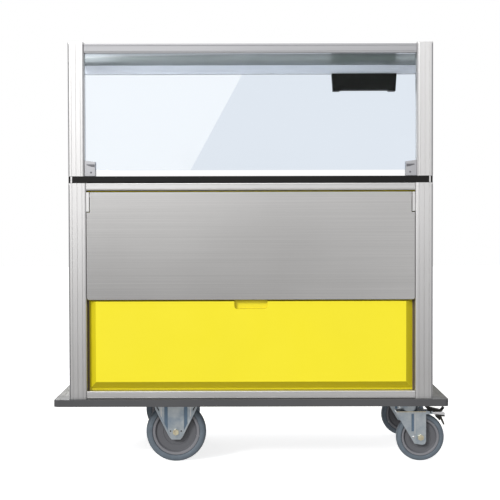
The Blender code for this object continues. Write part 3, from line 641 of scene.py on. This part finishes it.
def make_worktop_highlights():
    """A bright strip of painted highlight at each rounded corner of the worktop's front and rear edges."""
    low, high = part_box("worktop")
    for side in (-1, 1):
        x = side * (high[0] - 0.0105)
        for edge, out, label in ((low[1], -1, "front"), (high[1], 1, "rear")):
            strip((x - 0.0026, x + 0.0026), edge, out, (low[2] + 0.0005, high[2] - 0.0005), "post",
                  f"worktop_highlight_{label}_{side + 1}")


def strip(across, face, out, heights, key, name, body="trolley", rise=0.0004, thick=0.0008):
    """A slim upright strip with chamfered edges, laid on a face that looks along -Y or +Y."""
    bm = bmesh.new()
    bmesh.ops.create_cube(bm, size=1.0)
    size = (across[1] - across[0], thick, heights[1] - heights[0])
    bmesh.ops.scale(bm, vec=size, verts=bm.verts)
    bmesh.ops.bevel(bm, geom=list(bm.edges), offset=0.00025, segments=1, affect="EDGES")
    place = ((across[0] + across[1]) / 2, face + out * (rise - thick / 2), (heights[0] + heights[1]) / 2)
    bmesh.ops.translate(bm, vec=place, verts=bm.verts)
    return piece(name, bm, key, body)


def make_post_grooves():
    """Painted shade along the grooves at the front posts' outer edges, and along the glass in the upper
    ones.
    """
    for label, side in HANDS:
        for post in (f"upper_post_{label}", f"lower_post_front_{label}"):
            low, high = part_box(post)
            outer = high[0] if side > 0 else low[0]
            inner = low[0] if side > 0 else high[0]
            rim = sorted((outer - side * 0.0048, outer - side * 0.0026))
            heights = (low[2] + 0.002, high[2] - 0.006)
            strip(rim, low[1], -1, heights, "groove_shade_and_screw", f"groove_{post}")
            if post.startswith("upper"):
                rim = sorted((inner + side * 0.0042, inner + side * 0.0028))
                strip(rim, low[1], -1, heights, "groove_shade_and_screw", f"inner_groove_{label}")


def make_panel_gap_shades():
    """Brown strips of painted shade in the gaps between the front moulding's lower field and the posts."""
    low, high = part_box("front_panel")
    for side, x in ((-1, low[0]), (1, high[0])):
        across = sorted((x - side * 0.0002, x - side * 0.0062))
        strip(across, low[1] + 0.020, -1, (low[2] + 0.0006, low[2] + 0.2965), "gap_shade",
              f"panel_gap_shade_{side + 1}", rise=0.0016, thick=0.0020)


def make_door_fittings():
    """Round roses at the ends of the door handles, and the lock with a key way of painted shadow."""
    for label, _ in HANDS:
        low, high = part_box(f"door_handle_{label}")
        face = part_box(f"door_{label}")[1][1]
        for level in (low[2] + 0.0045, high[2] - 0.0045):
            place = ((low[0] + high[0]) / 2, face, level)
            rose = turned(stud(0.0085, 0.0014, 0.0008), place, ALONG_Y, 32)
            piece(f"handle_rose_{label}_{round(level * 1000)}", rose, "pan", f"{label}_door")
    low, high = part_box("door_handle_right")
    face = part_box("door_right")[1][1]
    place = ((low[0] + high[0]) / 2, face, low[2] - 0.045)
    proud = 0.0040
    piece("door_lock", turned(stud(0.0105, proud, 0.0012), place, ALONG_Y, 36), "pan", "right_door")
    # The key way is a dark disc of painted shadow
    key_way = turned(stud(0.0042, 0.0003, 0.0001), (place[0], face + proud, place[2]), ALONG_Y, 24)
    piece("door_lock_key_way", key_way, "shadow", "right_door")


def make_pieces():
    for end in ENDS:
        make_wheel(f"fixed_castor_{end}", f"{end}_fixed_wheel")
        make_wheel(f"swivel_castor_{end}", f"{end}_swivel_wheel")
    make_castor_bolts()
    make_fork_details()
    make_fork_relief()
    make_brake_bars()
    make_clamp_slots()
    make_clamp_screws()
    make_worktop_highlights()
    make_post_grooves()
    make_panel_gap_shades()
    make_door_fittings()


# ---------------------------------------------------------------- studio

def area_light(name, place, target, size, radiance, lean=0.0):
    """A soft panel of the given brightness, turned by lean degrees in its own plane."""
    light = bpy.data.lights.new(name, "AREA")
    light.shape = "RECTANGLE"
    light.size, light.size_y = size
    light.energy = radiance * math.pi * size[0] * size[1]
    item = bpy.data.objects.new(name, light)
    aim = (Vector(target) - Vector(place)).to_track_quat("-Z", "Y").to_matrix().to_4x4()
    item.matrix_world = Matrix.Translation(place) @ aim @ Matrix.Rotation(math.radians(lean), 4, "Z")
    item.visible_camera = False
    item.visible_transmission = False
    bpy.context.scene.collection.objects.link(item)
    return item


def make_world():
    """A studio that is white behind the trolley, and dimmer and graded behind the camera."""
    world = bpy.data.worlds.new("studio")
    bpy.context.scene.world = world
    world.use_nodes = True
    tree = world.node_tree
    direction = tree.nodes.new("ShaderNodeTexCoord").outputs["Generated"]
    split = tree.nodes.new("ShaderNodeSeparateXYZ")
    tree.links.new(direction, split.inputs["Vector"])
    height = tree.nodes.new("ShaderNodeValToRGB")
    ramp = height.color_ramp
    ramp.elements[0].position, ramp.elements[0].color = 0.30, (*WORLD_LOW, 1)
    ramp.elements[1].position, ramp.elements[1].color = 0.75, (*WORLD_HIGH, 1)
    middle_stop = ramp.elements.new(0.5)
    middle_stop.color = (*WORLD_MIDDLE, 1)
    lift = tree.nodes.new("ShaderNodeMapRange")
    lift.inputs["From Min"].default_value = -1.0
    tree.links.new(split.outputs["Z"], lift.inputs["Value"])
    tree.links.new(lift.outputs["Result"], height.inputs["Fac"])
    behind = tree.nodes.new("ShaderNodeMapRange")
    behind.interpolation_type = "SMOOTHSTEP"
    behind.inputs["From Min"].default_value = 0.6
    behind.inputs["From Max"].default_value = 0.93
    tree.links.new(split.outputs["Y"], behind.inputs["Value"])
    mix = tree.nodes.new("ShaderNodeMix")
    mix.data_type = "RGBA"
    tree.links.new(behind.outputs["Result"], mix.inputs["Factor"])
    tree.links.new(height.outputs["Color"], mix.inputs["A"])
    mix.inputs["B"].default_value = (*WHITE, 1.0)
    tree.links.new(mix.outputs["Result"], tree.nodes["Background"].inputs["Color"])


def stage_item(name, bm):
    """Make an object of the studio, which isn't part of the trolley."""
    mesh = bpy.data.meshes.new(name)
    bm.to_mesh(mesh)
    bm.free()
    item = bpy.data.objects.new(name, mesh)
    bpy.context.scene.collection.objects.link(item)
    return item


def glowing_paper(name, shade, spread, tint, glow):
    """Matt paper of a grey shade that also shines evenly by itself."""
    grey = (shade, shade, shade)
    paper = Surface(name, grey, 0.9, Emission_Color=(*tint, 1.0), Emission_Strength=glow)
    dark, light = shades(grey, spread)
    return paper.colour(paper.ramp(paper.noise(0.6), [(0.3, dark), (0.7, light)])).material


def make_floor():
    bm = bmesh.new()
    bmesh.ops.create_grid(bm, x_segments=1, y_segments=1, size=FLOOR_HALF)
    floor = stage_item("floor", bm)
    floor.visible_diffuse = False
    floor.visible_glossy = False
    floor.data.materials.append(glowing_paper("white_paper", 0.845, 0.018, WHITE, FLOOR_GLOW))


def make_flag(name, place, width, height):
    """A dark flag behind the camera, which the metal mirrors softly."""
    bm = bmesh.new()
    bmesh.ops.create_grid(bm, x_segments=1, y_segments=1, size=0.5,
                          matrix=Matrix.Translation(place) @ Matrix.Rotation(math.pi / 2, 4, "X")
                          @ Matrix.Diagonal((width, height, 1.0, 1.0)))
    flag = stage_item(name, bm)
    flag.visible_camera = False
    flag.visible_transmission = False
    dress(flag, "black")


def make_card():
    """A bright card with a slanting edge behind the trolley, seen only through the glass."""
    bm = bmesh.new()
    outline = [(-0.98, 1.05), (-0.343, 1.05), (0.012, 1.70), (-0.98, 1.70)]
    bm.faces.new([bm.verts.new((x, CARD_Y, z)) for x, z in outline])
    card = stage_item("card", bm)
    card.visible_camera = False
    card.visible_diffuse = False
    card.visible_glossy = False
    card.visible_shadow = False
    card.data.materials.append(glowing_paper("bright_card", 0.02, 0.1, CARD_TINT, CARD_GLOW))


def make_sun():
    """A broad, soft sun from the front left, above."""
    sun = bpy.data.lights.new("sun", "SUN")
    sun.energy = 1.6
    sun.angle = math.radians(14)
    item = bpy.data.objects.new("sun", sun)
    item.rotation_euler = SUN_HEADING.to_track_quat("-Z", "Y").to_euler()
    bpy.context.scene.collection.objects.link(item)


def make_studio():
    make_world()
    make_floor()
    make_card()
    make_flag("flag_middle", (0.0, -6.2, 0.52), 1.0, 1.5)
    make_flag("flag_left", (-1.45, -6.2, -0.20), 0.6, 1.2)
    key = area_light("key", place=(-1.75, -7.0, 3.23), target=(-1.75, 0.0, 3.23), size=(4.2, 3.4),
                     radiance=2.2, lean=-27.6)
    key.visible_transmission = True
    area_light("kick", place=(-1.05, 2.6, 0.65), target=(-1.05, 0.0, 0.65), size=(0.6, 0.5),
               radiance=4.5)
    area_light("fill", place=(1.6, -6.6, 0.6), target=(1.6, 0.0, 0.6), size=(1.0, 1.6), radiance=0.75)
    # Two strips light the canopy's underside; the metal doesn't mirror them
    for name, x, length, radiance in (("canopy", 0.0, 1.26, 7.0), ("canopy_left", -0.46, 0.34, 5.0)):
        tube = area_light(name, place=(x, -0.25, 1.28), target=(x, 0.035, 1.335), size=(length, 0.04),
                          radiance=radiance)
        tube.visible_glossy = False
    make_sun()


def make_camera():
    camera = bpy.data.objects.new("camera", bpy.data.cameras.new("camera"))
    turn = (Matrix.Rotation(math.radians(CAMERA_YAW), 4, "Z")
            @ Matrix.Rotation(math.radians(90 - CAMERA_PITCH), 4, "X")
            @ Matrix.Rotation(math.radians(CAMERA_ROLL), 4, "Z"))
    camera.matrix_world = Matrix.Translation(CAMERA_PLACE) @ turn
    camera.data.lens = CAMERA_LENS
    camera.data.clip_start = 0.05
    bpy.context.scene.collection.objects.link(camera)
    bpy.context.scene.camera = camera
    bpy.context.scene.view_settings.view_transform = "Standard"


make_camera()
make_studio()
dress_frame()
make_pieces()
